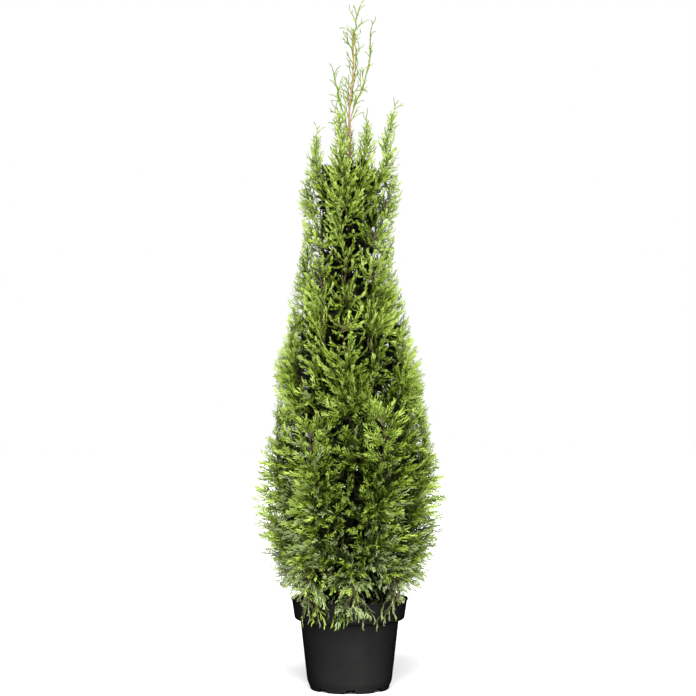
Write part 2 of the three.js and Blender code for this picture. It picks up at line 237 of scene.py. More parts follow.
def two_tone(add, factor, low, dark, high, light):
    """A colour that runs from dark where the factor is low to light where it is high."""
    ramp = add("ShaderNodeValToRGB", [("Fac", factor)])
    for stop, position, colour in zip(ramp.color_ramp.elements, (low, high), (dark, light)):
        stop.position = position
        stop.color = (*srgb(*colour), 1)
    return ramp.outputs["Color"]


plastic, tree, shader, add = new_material("black_plastic", srgb(33, 33, 34), 0.46)
shader.inputs["Specular IOR Level"].default_value = 0.0
place = add("ShaderNodeTexCoord")
# Dust and handling dull the gloss in soft patches, and the mould leaves a very fine grain.
haze = add("ShaderNodeTexNoise", [("Vector", place.outputs["Object"])], Scale=22.0, Detail=5.0, Roughness=0.6)
dulled = add("ShaderNodeMapRange", [("Value", haze.outputs["Fac"])], **{"To Min": 0.38, "To Max": 0.56})
tree.links.new(dulled.outputs["Result"], shader.inputs["Roughness"])
dust = add("ShaderNodeTexNoise", [("Vector", place.outputs["Object"])], Scale=9.0, Detail=8.0, Roughness=0.7)
dusty = two_tone(add, dust.outputs["Fac"], 0.42, (25, 25, 25), 0.78, (33, 33, 32))
# Painted shade: seen edge on, the plastic is painted near black, standing in for its sides turned away from
# the light.
painted_shade_facing = add("ShaderNodeLayerWeight", Blend=0.5)
# Painted shade: this mix takes the plastic's colour towards near black as it turns edge on.
rounding = add("ShaderNodeMix", data_type="RGBA")
tree.links.new(painted_shade_facing.outputs["Facing"], rounding.inputs["Factor"])
tree.links.new(dusty, rounding.inputs["A"])
rounding.inputs["B"].default_value = (*srgb(4, 4, 4), 1)
tree.links.new(rounding.outputs["Result"], shader.inputs["Base Color"])
grain = add("ShaderNodeTexNoise", [("Vector", place.outputs["Object"])], Scale=900.0, Detail=2.0)
relief = add("ShaderNodeBump", [("Height", grain.outputs["Fac"])], Strength=0.12, Distance=0.0004)
tree.links.new(relief.outputs["Normal"], shader.inputs["Normal"])
pot.data.materials.append(plastic)
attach(pot, "root")
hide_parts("pot")

# ---- Soil ----
# Damp brown compost, a little mounded round the stem and set down below the rim. Its top is a lumpy disc
# on a plain plug, with loose crumbs scattered over it by a node tree.
_, soil_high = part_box("soil")
SOIL_TOP = soil_high.z / MM
SOIL_RINGS = 46
SOIL_SEGMENTS = 110
PLUG = [(76.6, 10.4, 2.0), (79.0, 17.4, 5.0), (92.0, COLLAR_FOOT - 2.6, 1.5), (102.9, COLLAR_FOOT + 2.4, 1.5)]
edge_radius = soil_high.x / MM - 0.3
edge_height = SOIL_TOP - 3.6


def soil_lumps(x, y):
    """How far the surface stands up or down at a place, in millimetres."""
    coarse = noise.noise(Vector((x, y, 3.0)) * 0.045)
    fine = noise.noise(Vector((x, y, 9.0)) * 0.16)
    grit = noise.noise(Vector((x, y, 5.0)) * 0.42)
    return 1.7 * coarse + 1.3 * fine + 0.7 * grit


profile = rounded(PLUG, (0, 10.4), (edge_radius, edge_height - 1.5), 3)
for ring in range(SOIL_RINGS):
    share = ring / (SOIL_RINGS - 1)
    radius = edge_radius * (1 - share)
    profile.append((radius, edge_height + 3.0 * math.exp(-((radius / 48) ** 2)) - (1.2 if ring == 0 else 0)))
soil = turned("compost", profile, SOIL_SEGMENTS)
for v in soil.data.vertices:
    radius = math.hypot(v.co.x, v.co.y) / MM
    if v.co.z / MM > edge_height - 1.4 and radius < edge_radius - 1:
        v.co.z += soil_lumps(v.co.x / MM, v.co.y / MM) * MM * min(1, (edge_radius - radius) / 8)
smoothed(soil)

compost, tree, shader, add = new_material("damp_compost", srgb(58, 42, 30), 0.9)
place = add("ShaderNodeTexCoord")
clods = add("ShaderNodeTexNoise", [("Vector", place.outputs["Object"])],
            Scale=160.0, Detail=7.0, Roughness=0.65)
tint = two_tone(add, clods.outputs["Fac"], 0.34, (28, 19, 13), 0.7, (92, 68, 47))
tree.links.new(tint, shader.inputs["Base Color"])
relief = add("ShaderNodeBump", [("Height", clods.outputs["Fac"])], Strength=0.8, Distance=0.0015)
tree.links.new(relief.outputs["Normal"], shader.inputs["Normal"])
soil.data.materials.append(compost)

crumb_shape = bmesh.new()
bmesh.ops.create_icosphere(crumb_shape, subdivisions=1, radius=1.0)
for v in crumb_shape.verts:
    v.co *= 1 + 0.35 * noise.noise(v.co * 1.7 + Vector((4, 1, 2)))
crumb = settled("crumb", crumb_shape)


def node_group(name, inputs):
    """An empty Geometry Nodes tree with a mesh input, the given inputs and a mesh output."""
    group = bpy.data.node_groups.new(name, "GeometryNodeTree")
    group.interface.new_socket("Geometry", in_out="INPUT", socket_type="NodeSocketGeometry")
    sockets = {key: group.interface.new_socket(key, in_out="INPUT", socket_type=kind) for key, kind in inputs}
    group.interface.new_socket("Geometry", in_out="OUTPUT", socket_type="NodeSocketGeometry")
    return group, sockets, group.nodes.new("NodeGroupInput"), group.nodes.new("NodeGroupOutput")


group, sockets, given, result = node_group("scattered_crumbs", [
    ("Crumb", "NodeSocketObject"), ("Density", "NodeSocketFloat"), ("Smallest", "NodeSocketVector"),
    ("Largest", "NodeSocketVector"), ("Seed", "NodeSocketInt"), ("Finish", "NodeSocketMaterial")])
nodes = group.nodes
upward = nodes.new("GeometryNodeInputNormal")
split = nodes.new("ShaderNodeSeparateXYZ")
facing = nodes.new("FunctionNodeCompare")
facing.inputs["B"].default_value = 0.6
spread = nodes.new("GeometryNodeDistributePointsOnFaces")
source = nodes.new("GeometryNodeObjectInfo")
size = nodes.new("FunctionNodeRandomValue")
size.data_type = "FLOAT_VECTOR"
spin = nodes.new("FunctionNodeRandomValue")
spin.data_type = "FLOAT_VECTOR"
spin.inputs["Max"].default_value = (6.28, 6.28, 6.28)
copies = nodes.new("GeometryNodeInstanceOnPoints")
real = nodes.new("GeometryNodeRealizeInstances")
dressed = nodes.new("GeometryNodeSetMaterial")
for giver, output, taker, entry in (
        (upward, "Normal", split, "Vector"), (split, "Z", facing, "A"),
        (given, "Geometry", spread, "Mesh"), (facing, "Result", spread, "Selection"),
        (given, "Density", spread, "Density"), (given, "Seed", spread, "Seed"),
        (given, "Crumb", source, "Object"), (given, "Smallest", size, "Min"),
        (given, "Largest", size, "Max"), (given, "Seed", size, "Seed"), (given, "Seed", spin, "Seed"),
        (spread, "Points", copies, "Points"), (source, "Geometry", copies, "Instance"),
        (size, "Value", copies, "Scale"), (spin, "Value", copies, "Rotation"),
        (copies, "Instances", real, "Geometry"), (real, "Geometry", dressed, "Geometry"),
        (given, "Finish", dressed, "Material"), (dressed, "Geometry", result, "Geometry")):
    group.links.new(giver.outputs[output], taker.inputs[entry])

crumbs = linked("compost_crumbs", soil.data.copy())
scatter = crumbs.modifiers.new("scatter", "NODES")
scatter.node_group = group
values = {"Crumb": crumb, "Density": 26000.0, "Smallest": (0.0006, 0.0006, 0.0005),
          "Largest": (0.0022, 0.0016, 0.0013), "Seed": 4, "Finish": compost}
for key, value in values.items():
    scatter[sockets[key].identifier] = value
plain_mesh(crumbs, "compost_crumbs")
bpy.data.objects.remove(crumb)
for piece in (soil, crumbs):
    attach(piece, "root")
    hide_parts("soil")

# ---- Stem and boughs ----
# One woody stem from the root flare to the leader, and the boughs that leave it, in stringy reddish bark.
# Each is a tube along the middle of its solid, with fibres, ridges and a flare raised in the mesh.


def solid_arrays(node):
    """A CAD node's vertices and triangles as arrays."""
    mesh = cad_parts[node].data
    vertices = np.empty(len(mesh.vertices) * 3)
    mesh.vertices.foreach_get("co", vertices)
    mesh.calc_loop_triangles()
    triangles = np.empty(len(mesh.loop_triangles) * 3, np.int32)
    mesh.loop_triangles.foreach_get("vertices", triangles)
    return vertices.reshape(-1, 3), triangles.reshape(-1, 3)


def slices(node, heights):
    """The middle and the mean radius of a CAD solid's section at each height."""
    vertices, triangles = solid_arrays(node)
    starts = vertices[triangles].reshape(-1, 3)
    ends = vertices[np.roll(triangles, -1, axis=1)].reshape(-1, 3)
    found = []
    for height in heights:
        crossing = (starts[:, 2] - height) * (ends[:, 2] - height) < 0
        a, b = starts[crossing], ends[crossing]
        share = ((height - a[:, 2]) / (b[:, 2] - a[:, 2]))[:, None]
        points = a + (b - a) * share
        middle = points.mean(axis=0)
        found.append((middle, np.linalg.norm(points - middle, axis=1).mean()))
    return found


def smooth_path(points, count):
    """A curve through the points, as count points at even spacing (Catmull-Rom, then evened out)."""
    p = np.asarray(points, float)
    p = np.vstack([2 * p[0] - p[1], p, 2 * p[-1] - p[-2]])
    t = np.linspace(0, 1, 12, endpoint=False)[:, None]
    parts = []
    for a, b, c, d in zip(p, p[1:], p[2:], p[3:]):
        parts.append(0.5 * (2 * b + (c - a) * t + (2 * a - 5 * b + 4 * c - d) * t**2
                            + (3 * b - a - 3 * c + d) * t**3))
    line = np.vstack(parts + [p[-2:-1]])
    run = np.concatenate([[0], np.cumsum(np.linalg.norm(np.diff(line, axis=0), axis=1))])
    even = np.linspace(0, run[-1], count)
    return np.stack([np.interp(even, run, line[:, k]) for k in range(3)], axis=1)


def frames_along(line):
    """A pair of sideways directions at each point of a line that doesn't twist on the way."""
    tangents = np.gradient(line, axis=0)
    tangents /= np.linalg.norm(tangents, axis=1)[:, None]
    first = np.cross(tangents[0], (0.0, 0.0, 1.0) if abs(tangents[0][2]) < 0.9 else (1.0, 0.0, 0.0))
    normals = [first / np.linalg.norm(first)]
    for tangent in tangents[1:]:
        normal = normals[-1] - tangent * np.dot(normals[-1], tangent)
        normals.append(normal / np.linalg.norm(normal))
    normals = np.array(normals)
    return normals, np.cross(tangents, normals)


def tube(line, radii, sides, relief=None):
    """Vertices and triangles of a closed tube. relief(ring, angles) is each point's share of extra radius."""
    normals, sideways = frames_along(line)
    angles = np.arange(sides) * 2 * math.pi / sides
    rings = []
    for i, (middle, radius) in enumerate(zip(line, radii)):
        reach = radius * (1 + relief(i, angles)) if relief else np.full(sides, radius)
        rings.append(middle + np.outer(np.cos(angles) * reach, normals[i])
                     + np.outer(np.sin(angles) * reach, sideways[i]))
    count = len(line)
    vertices = np.vstack(rings + [line[:1], line[-1:]])
    here = np.arange(sides)
    after = (here + 1) % sides
    faces = []
    for i in range(count - 1):
        low, high = i * sides, (i + 1) * sides
        faces.append(np.stack([low + here, low + after, high + after], axis=1))
        faces.append(np.stack([low + here, high + after, high + here], axis=1))
    foot, tip = count * sides, count * sides + 1
    faces.append(np.stack([after, here, np.full(sides, foot)], axis=1))
    last = (count - 1) * sides
    faces.append(np.stack([last + here, last + after, np.full(sides, tip)], axis=1))
    return vertices, np.vstack(faces)


def gathered(parts):
    """Many (vertices, faces) pairs as one."""
    offset = 0
    vertices, faces = [], []
    for v, f in parts:
        vertices.append(v)
        faces.append(f + offset)
        offset += len(v)
    return np.vstack(vertices), np.vstack(faces)


stem_low, stem_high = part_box("trunk")
STEM_SIDES = 36
STEM_RINGS = 280
levels = np.linspace(stem_low.z + 0.0004, stem_high.z - 0.001, 90)
stem_slices = slices("trunk", levels)
stem_middle = np.array([middle for middle, _ in stem_slices])
stem_radius = np.array([radius for _, radius in stem_slices])


def stem_at(height):
    """The stem's middle at a height."""
    return np.array([np.interp(height, levels, stem_middle[:, k]) for k in range(2)] + [height])


def fibres(line, radii, seed):
    """Relief for a tube: long stringy ridges that run up the wood, and slow swellings."""
    def relief(ring, angles):
        middle, radius = line[ring], radii[ring]
        shares = []
        for angle in angles:
            around = Vector((math.cos(angle), math.sin(angle), 0)) * (radius / MM) * 0.42
            along = Vector((0, 0, middle[2] / MM * 0.030 + seed))
            string = abs(noise.noise(around * 1.9 + along))
            string += 0.5 * abs(noise.noise(around * 4.1 + along * 2.7))
            shares.append(0.10 * (0.55 - string) + 0.05 * noise.noise(around * 0.5 + along * 0.9))
        return np.array(shares)
    return relief


stem_heights = np.linspace(stem_low.z, stem_high.z, STEM_RINGS)
stem_line = np.array([stem_at(h) for h in stem_heights])
above = (stem_heights - stem_low.z) / MM
stem_radii = np.interp(stem_heights, levels, stem_radius) * (1 + 0.12 * np.exp(-above / 12))
stem_radii *= np.interp(stem_heights, [0.90, 1.08], [1.0, 0.68])
stem_fibres = fibres(stem_line, stem_radii, 0.0)


def flared(ring, angles):
    """The fibres, and the root buttresses that spread the stem's foot."""
    lobes = 0.10 * np.cos(3 * angles + 0.6) + 0.06 * np.cos(5 * angles + 2.0)
    return stem_fibres(ring, angles) + lobes * math.exp(-above[ring] / 16)


stem = joined_mesh("stem_bark", *tube(stem_line, stem_radii, STEM_SIDES, flared))

BOUGH_TIERS = {"lower": "belly", "middle": "waist", "upper": "chest"}
BOUGH_SIDES = 14
BOUGH_RINGS = 26
bough_lines = {}
bough_parts = []
bough_nodes = sorted(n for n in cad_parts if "_bough_" in n)
for number, node in enumerate(bough_nodes):
    low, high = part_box(node)
    heights = np.linspace(low.z + 0.12 * (high.z - low.z), high.z - 0.12 * (high.z - low.z), 6)
    found = slices(node, heights)
    middles = [middle for middle, _ in found]
    root = stem_at(middles[0][2] - 0.012)
    line = smooth_path([root, *middles], BOUGH_RINGS)
    tier, _, place_in_tier = node.split("_")
    bough_lines[BOUGH_TIERS[tier] + "_mass_" + place_in_tier] = line
    thick = {"lower": 0.0041, "middle": 0.0036, "upper": 0.0030}[tier]
    share = np.linspace(0, 1, BOUGH_RINGS)
    radii = thick * (1 - 0.3 * share) * (1 + 0.5 * np.exp(-share * 9))
    bough_parts.append(tube(line, radii, BOUGH_SIDES, fibres(line, radii, 10.0 + number)))
boughs = joined_mesh("bough_bark", *gathered(bough_parts))

bark, tree, shader, add = new_material("stringy_bark", srgb(84, 58, 44), 0.85)
place = add("ShaderNodeTexCoord")
stretched = add("ShaderNodeMapping", [("Vector", place.outputs["Object"])])
stretched.inputs["Scale"].default_value = (1, 1, 0.12)
strings = add("ShaderNodeTexNoise", [("Vector", stretched.outputs["Vector"])],
              Scale=520.0, Detail=6.0, Roughness=0.62)
tint = two_tone(add, strings.outputs["Fac"], 0.32, (46, 31, 24), 0.68, (104, 76, 58))
# The young wood at the top is a lighter red.
height = add("ShaderNodeSeparateXYZ", [("Vector", place.outputs["Object"])])
young = add("ShaderNodeMapRange", [("Value", height.outputs["Z"])], **{"From Min": 0.95, "From Max": 1.12})
grown = add("ShaderNodeMix", data_type="RGBA")
tree.links.new(young.outputs["Result"], grown.inputs["Factor"])
tree.links.new(tint, grown.inputs["A"])
grown.inputs["B"].default_value = (*srgb(140, 96, 78), 1)
tree.links.new(grown.outputs["Result"], shader.inputs["Base Color"])
relief = add("ShaderNodeBump", [("Height", strings.outputs["Fac"])], Strength=0.7, Distance=0.0008)
tree.links.new(relief.outputs["Normal"], shader.inputs["Normal"])
for piece, replaced in ((stem, ["trunk"]), (boughs, bough_nodes)):
    smoothed(piece)
    piece.data.materials.append(bark)
    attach(piece, "root")
    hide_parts(*replaced)

# ---- Limbs inside the crown ----
# Every mass of foliage grows on one limb, which carries on from its bough, or from the stem where it has
# none, and runs through the middle of the mass to its tip, getting thinner all the way.
TIERS = ["skirt", "belly", "waist", "chest", "neck", "shoulder", "leader"]
HUB_IN = 0.71  # the low sprays arch round a hub at this share of the rim's radius
HUB_UP = 0.011
masses = sorted((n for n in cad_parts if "_mass_" in n),
                key=lambda n: (TIERS.index(n.split("_")[0]), int(n.split("_")[-1])))
solids = {}
for node in masses:
    vertices, triangles = solid_arrays(node)
    solids[node] = (vertices, triangles, BVHTree.FromPolygons(vertices.tolist(), triangles.tolist()))


def outward(point):
    """The level direction from the stem out to a point."""
    flat = np.array(point, float) - stem_at(point[2])
    flat[2] = 0
    return flat / (np.linalg.norm(flat) + 1e-9)


def arch_middle(node):
    """The middle of a low spray that arches over the rim, found by looking out from its hub."""
    vertices, _, tree = solids[node]
    out = outward(vertices.mean(axis=0))
    hub = out * RIM * MM * HUB_IN + np.array([0, 0, pot_high.z + HUB_UP])
    middles = []
    for degrees in range(158, -60, -7):
        angle = math.radians(degrees)
        look = Vector(out * math.cos(angle) + np.array([0, 0, math.sin(angle)]))
        near, _, _, _ = tree.ray_cast(Vector(hub), look)
        far = tree.ray_cast(near + look * 1e-5, look)[0] if near else None
        if far:
            middles.append(np.array((near + far) / 2))
    return middles


def rising_middle(node):
    """The middle of an upright mass from its foot to its tip."""
    vertices, _, _ = solids[node]
    low, high = vertices[:, 2].min(), vertices[:, 2].max()
    heights = np.linspace(low + 0.05 * (high - low), high - 0.04 * (high - low), 9)
    return [middle for middle, _ in slices(node, heights)] + [vertices[vertices[:, 2].argmax()]]


LIMB_DROP = {"skirt": 0.022, "neck": 0.055, "shoulder": 0.045, "leader": 0.03}
LIMB_RADIUS = {"skirt": 0.0014, "belly": 0.0028, "waist": 0.0025, "chest": 0.0021,
               "neck": 0.0022, "shoulder": 0.0019, "leader": 0.0011}
LIMB_POINTS = 60
LIMB_SIDES = 5
LIMB_DRAWN = {"skirt": 0.6, "leader": 0.3, "shoulder": 0.6}  # the share of a limb that is wood; else 0.8
limbs = {}
limb_parts = []
for node in masses:
    tier = node.split("_")[0]
    if node in bough_lines:
        bough = bough_lines[node]
        inside = [p for p in rising_middle(node) if p[2] > bough[-1][2] + 0.02]
        line = smooth_path([bough[-4], bough[-1], *inside], LIMB_POINTS)
    else:
        middle = arch_middle(node) if tier == "skirt" else rising_middle(node)
        root = stem_at(max(middle[0][2] - LIMB_DROP[tier], stem_low.z + 0.008))
        line = smooth_path([root, *middle], LIMB_POINTS)
    limbs[node] = line
    drawn = line[: int(LIMB_POINTS * LIMB_DRAWN.get(tier, 0.8))]
    radii = LIMB_RADIUS[tier] * np.linspace(1, 0.4, len(drawn))
    limb_parts.append(tube(drawn, radii, LIMB_SIDES))

# ---- Sprays of scale leaves ----
# A thuja's leaves are scales that clothe flat branchlets, and these lie in one plane as a fern-like spray.
# A spray is built once in each of a few forms: a rib, side branches that lean forwards from it by turns,
# and short branchlets on those. Long stretches are ridged straps and branchlets are folded kites.
STRAP_FACES = np.array([(0, 1, 3), (0, 3, 5), (0, 5, 4), (0, 4, 2)])
KITE_FACES = np.array([(0, 1, 2), (0, 2, 3)])
FOLD = 0.42  # how far a leaf's edges fall below its ridge, as a share of its width
BUD_STEP = 6.6  # between one branchlet and the next, in millimetres


class Spray:
    """Leaves of one spray in its own frame, in millimetres: Y runs along the rib and Z is the upper face."""

    def __init__(self, length, seed):
        self.length = length
        self.draw = np.random.default_rng(seed)
        self.straps, self.strap_lift = [], []
        self.kites, self.kite_lift = [], []
        self.lift = 0

    def across(self, way, width):
        side = np.array([way[1], -way[0], self.draw.normal(0, 0.35)])
        return side * (width / 2 / np.linalg.norm(side))

    def strap(self, start, way, length, width, young=False):
        side = self.across(way, width)
        fall = np.array([0, 0, FOLD * width])
        near, far = start + way * length * 0.16 - fall, start + way * length * 0.76 - fall
        self.straps.append([start, near - side * 0.85, near + side * 0.85,
                            far - side, far + side, start + way * length])
        self.strap_lift.append(self.lift + young)

    def kite(self, start, way, length, width, young=False):
        side = self.across(way, width)
        middle = start + way * length * 0.6 - np.array([0, 0, FOLD * width])
        self.kites.append([start, middle + side, start + way * length, middle - side])
        self.kite_lift.append(self.lift + young)

    def branch(self, start, way, length, bend, width, stretch, twiglet=0.0):
        """A run of straps from start that turns by bend, with branchlets on both sides by turns."""
        count = max(1, round(length / stretch))
        share, turn = length / count, bend / count
        point, travelled, next_bud = start, 0.0, BUD_STEP * 0.8
        hand = 1 if self.draw.random() < 0.5 else -1
        for i in range(count):
            way = np.array([way[0] * math.cos(turn) - way[1] * math.sin(turn),
                            way[0] * math.sin(turn) + way[1] * math.cos(turn), way[2]])
            self.strap(point, way, share * 1.16, width * (1 - 0.18 * i / count), i == count - 1)
            while twiglet and next_bud < travelled + share:
                at = point + way * (next_bud - travelled)
                lean = hand * math.radians(self.draw.uniform(38, 56))
                turned_way = np.array([way[0] * math.cos(lean) - way[1] * math.sin(lean),
                                       way[0] * math.sin(lean) + way[1] * math.cos(lean),
                                       self.draw.normal(0, 0.2)])
                reach = twiglet * (1 - 0.4 * next_bud / length) * self.draw.uniform(0.75, 1.2)
                self.kite(at, turned_way, reach, width * 0.92, next_bud > 0.45 * length)
                hand = -hand
                next_bud += BUD_STEP * self.draw.uniform(0.8, 1.2)
            point = point + way * share
            travelled += share

    def finished(self, curl, ripple):
        """The leaves as arrays, with the spray's sides curled down and its length rippled."""
        self.straps = np.array(self.straps).reshape(-1, 6, 3)
        self.kites = np.array(self.kites).reshape(-1, 4, 3)
        self.strap_lift = np.array(self.strap_lift, int)
        self.kite_lift = np.array(self.kite_lift, int)
        for leaves in (self.straps, self.kites):
            x, y = leaves[..., 0], leaves[..., 1]
            leaves[..., 2] += -curl * x**2 / self.length + ripple * np.sin(y / self.length * 5.0)
        return self


def fan(length, breadth, seed, gap=6.4, width=2.3, twiglet=5.8, lean=(54, 30), stretch=12.0):
    """A full spray: side branches longest at a third of the rib, drawn in to a point at its end. Every other
    pair of side branches lies a little lower and is painted a tone darker, as painted shade."""
    made = Spray(length, seed)
    made.branch(np.zeros(3), np.array([0, 1.0, 0]), length, made.draw.normal(0, 0.12), width * 0.95, stretch)
    hand = 1
    count = 0
    y = 0.10 * length
    while y < 0.93 * length:
        t = y / length
        reach = breadth * length * ((t + 0.08) ** 0.5) * ((1 - t) ** 0.55) * 1.6
        reach *= made.draw.uniform(0.72, 1.18)
        angle = math.radians(lean[0] + (lean[1] - lean[0]) * t + made.draw.normal(0, 5))
        low = (count // 2) % 2 == 1
        # Painted shade: the lower pairs of side branches take a darker tone.
        made.lift = -1 if low else 0
        rise = made.draw.normal(-0.12 if low else 0.06, 0.08)
        way = np.array([hand * math.sin(angle), math.cos(angle), rise])
        start = np.array([made.draw.normal(0, 0.3), y, -1.2 if low else 0.6])
        made.branch(start, way, max(reach, 8.0), hand * math.radians(22), width * (0.9 if low else 1),
                    stretch, twiglet=twiglet if reach > 9 else 0)
        hand = -hand
        count += 1
        y += made.draw.uniform(0.85, 1.2) * gap * (0.75 if low else 1)
    return made.finished(made.draw.uniform(0.10, 0.5), made.draw.normal(0, 1.8))


broad_fans = [fan(80, 0.32, seed) for seed in range(5)]
slim_fans = [fan(70, 0.26, seed, lean=(48, 26)) for seed in range(10, 15)]
small_fans = [fan(36, 0.26, seed, gap=5.0, width=2.5, twiglet=5.0, lean=(42, 28)) for seed in range(20, 24)]
hanging_fans = [fan(84, 0.28, seed, lean=(46, 26)) for seed in range(30, 35)]
fringe_fans = [fan(46, 0.34, seed, lean=(46, 26)) for seed in range(50, 54)]
inner_fans = [fan(62, 0.38, seed, gap=6.0, width=4.6, twiglet=0, lean=(56, 34), stretch=30.0)
              for seed in range(40, 43)]

# ---- Growth of the crown ----
# Sprays are set out evenly over the outside of the masses. Each grows on a twig that leaves the nearest
# limb at a slant and bends to the way that growth goes at its height: down over the rim at the foot, level
# in the belly and ever steeper above. Leaves are painted darker with their depth below the outside, as
# painted shade.
draw = np.random.default_rng(2024)
LEAN_HEIGHTS = [0.14, 0.20, 0.27, 0.34, 0.42, 0.50, 0.60, 0.75, 0.95, 1.32]
LEAN_DEGREES = [-70, -56, -34, -10, 10, 28, 44, 56, 64, 74]
PROUD_HEIGHTS = [0.20, 0.24, 0.28, 0.33, 0.45, 1.0]  # how far tips stand out of the masses, in millimetres
PROUD = [7, 14, 14, 8, 4, 3]
# The lowest sprays hang under the masses, down over the rim, at the front and the back, and clear it at
# the sides. A fringe of them follows the rim there.
HANG_BELOW, HANG, SIDE_RISE = 0.19, 0.026, 0.014
FRINGE_TURN = 0.06  # the fringe's spacing round the rim
FRINGE_WITHIN = 0.68  # the least share by which it faces the front or the back
FRINGE_RADII, FRINGE_HEIGHTS, FRINGE_FALL = (0.117, 0.130), (0.128, 0.158), 0.07
PLANE_SPREAD = 1.15  # how unevenly the sprays' planes are turned, in radians
CROWN_TOP = 1.005
CANDIDATES = 26000  # places tried for a tip
# Heights, and the least distance between tips there.
TIP_GAPS = [(0.27, 0.0150), (0.33, 0.0170), (0.52, 0.0168), (0.70, 0.0146)]
TWIG_SLANT = math.radians(42)  # between a limb and the way to a tip that it feeds
TWIG_THICK, TWIG_THIN = 0.0012, 0.0006
# How far a twig keeps its first and last directions, as a share of its span.
HANDLE, FRINGE_HANDLE = 0.36, 0.55
BRIGHT_MOOD, DARK_MOOD = 0.38, -0.40  # past these a spray is a tone lighter or darker
SIDE_SPRAYS = (0.55, 0.28)  # where a twig's side sprays leave it, as shares of its run
TONES = ["shade", "deep", "mid", "fresh", "lime"]
GREY_TONES = ["shade", "moss", "sage", "pale", "pale"]
# Heights, and the share of greyer sprays there.
GREY_SHARE = [0.20, 0.30, 0.45, 0.70], [0.75, 0.36, 0.10, 0.02]
HEART_TONES = ["heart"]
# Painted shade: below each of these depths a leaf is painted a tone darker.
PAINTED_SHADE_DEPTHS = np.array([0.013, 0.028, 0.046])  # each one passed takes a leaf a tone down
leaves = {}  # (tone, half of the crown) to lists of strap and kite arrays
twig_parts = {"lower": [], "upper": []}
HALF_HEIGHT = 0.66
LOWER = ("skirt", "belly", "waist")


def unit(v):
    return v / (np.linalg.norm(v) + 1e-12)


def turned_about(v, axis, angle):
    """v turned round a unit axis."""
    return (v * math.cos(angle) + np.cross(axis, v) * math.sin(angle)
            + axis * np.dot(axis, v) * (1 - math.cos(angle)))


all_vertices, all_triangles = gathered([solids[node][:2] for node in masses])
crown = BVHTree.FromPolygons(all_vertices.tolist(), all_triangles.tolist())

# How far the crown reaches from the stem, on a grid of heights and directions; the clefts between
# neighbouring masses are partly filled, as sprays from both sides close over them.
GRID_STEP = 0.010
GRID_HEIGHTS = np.arange(0.150, 1.121, GRID_STEP)
GRID_TURNS = 48
FAR = 0.4  # well outside the crown
reaches = np.zeros((len(GRID_HEIGHTS), GRID_TURNS))
for i, height in enumerate(GRID_HEIGHTS):
    for j in range(GRID_TURNS):
        angle = 2 * math.pi * j / GRID_TURNS
        out = np.array([math.cos(angle), math.sin(angle), 0])
        hit = crown.ray_cast(Vector(stem_at(height) + out * FAR), Vector(-out), FAR)
        reaches[i, j] = FAR - hit[3] if hit[0] is not None else 0
closed = np.max([np.roll(reaches, k, axis=1) for k in (-2, -1, 0, 1, 2)], axis=0)
reaches = 0.8 * np.minimum(closed, reaches + 0.05) + 0.2 * reaches
reaches = (np.roll(reaches, 1, axis=1) + 2 * reaches + np.roll(reaches, -1, axis=1)) / 4
reaches[1:-1] = (reaches[:-2] + 2 * reaches[1:-1] + reaches[2:]) / 4


def crown_reach(height, angle):
    """The crown's radius at a height and a direction."""
    row = np.clip((height - GRID_HEIGHTS[0]) / GRID_STEP, 0, len(GRID_HEIGHTS) - 1.001)
    column = (angle / (2 * math.pi) * GRID_TURNS) % GRID_TURNS
    i, j = int(row), int(column)
    u, v = row - i, column - j
    k = (j + 1) % GRID_TURNS
    return ((1 - u) * ((1 - v) * reaches[i, j] + v * reaches[i, k])
            + u * ((1 - v) * reaches[i + 1, j] + v * reaches[i + 1, k]))


def depth_at(point):
    """How deep a point is below the crown's outside."""
    flat = (point - stem_at(point[2]))[:2]
    return crown_reach(point[2], math.atan2(flat[1], flat[0])) - np.linalg.norm(flat)


WALL_HEIGHTS = [0.020, 0.131, 0.1365, 0.175]
WALL_RADII = [0.0820, 0.0947, 0.1057, 0.1117]  # the outside of the pot's wall at these heights
WALL_ROOM = 0.0028  # the wall and a hair more
SOIL_MOUND = 0.003  # how far the soil's middle stands above its edge


def clear_of_pot(shapes):
    """Which leaves keep out of the pot's wall and its compost, told by all their corners."""
    radius = np.hypot(shapes[..., 0], shapes[..., 1])
    height = shapes[..., 2]
    wall = np.interp(height, WALL_HEIGHTS, WALL_RADII)
    above = height > pot_high[2]
    outside = above | (radius > wall)
    inside = above | ((radius < wall - WALL_ROOM) & (height > soil_high[2] - SOIL_MOUND))
    return outside.all(axis=1) | inside.all(axis=1)


def place_spray(form, base, way, face, length, bend, level, tones, half, depth=0.0):
    """One copy of a spray form, from its base along way, in metres. Bend bows it and leaves both ends in
    place; level lifts it in its row of tones; depth is how far its tip is below the crown's outside."""
    scale = length / form.length
    side = np.cross(way, face) * (1 if draw.random() < 0.5 else -1)
    girth = min(max(scale, 0.62 * MM), 1.1 * MM)  # a short spray keeps its branchlets' width
    turn = np.stack([side * girth, way * scale, face * girth])
    for kind, lifts, shapes in (("strap", form.strap_lift, form.straps),
                                ("kite", form.kite_lift, form.kites)):
        share = shapes[..., 1:2] / form.length
        placed = shapes @ turn + base + bend * (share**2 - share) * length
        # Painted shade: leaves that lie deeper below the crown's outside take darker tones.
        below = depth + (1 - share[:, -2, 0]) * length + 0.25 * np.abs(shapes[:, -2, 0]) * girth
        step = 3 + level + lifts - np.searchsorted(PAINTED_SHADE_DEPTHS, below * draw.uniform(0.75, 1.3, len(below)))
        step = np.clip(step, 0, len(tones) - 1)
        clear = clear_of_pot(placed)
        for tone in np.unique(step):
            sorted_out = placed[(step == tone) & clear]
            leaves.setdefault((tones[tone], half), {"strap": [], "kite": []})[kind].append(sorted_out)


def plane_of(way, out, spread):
    """The upper face of a spray that runs along way: the planes stand upright and fan out from the stem."""
    level = unit(np.cross((0, 0, 1.0), out) + 1e-6)
    face = unit(level - way * np.dot(level, way))
    return turned_about(face, way, draw.normal(0, spread))


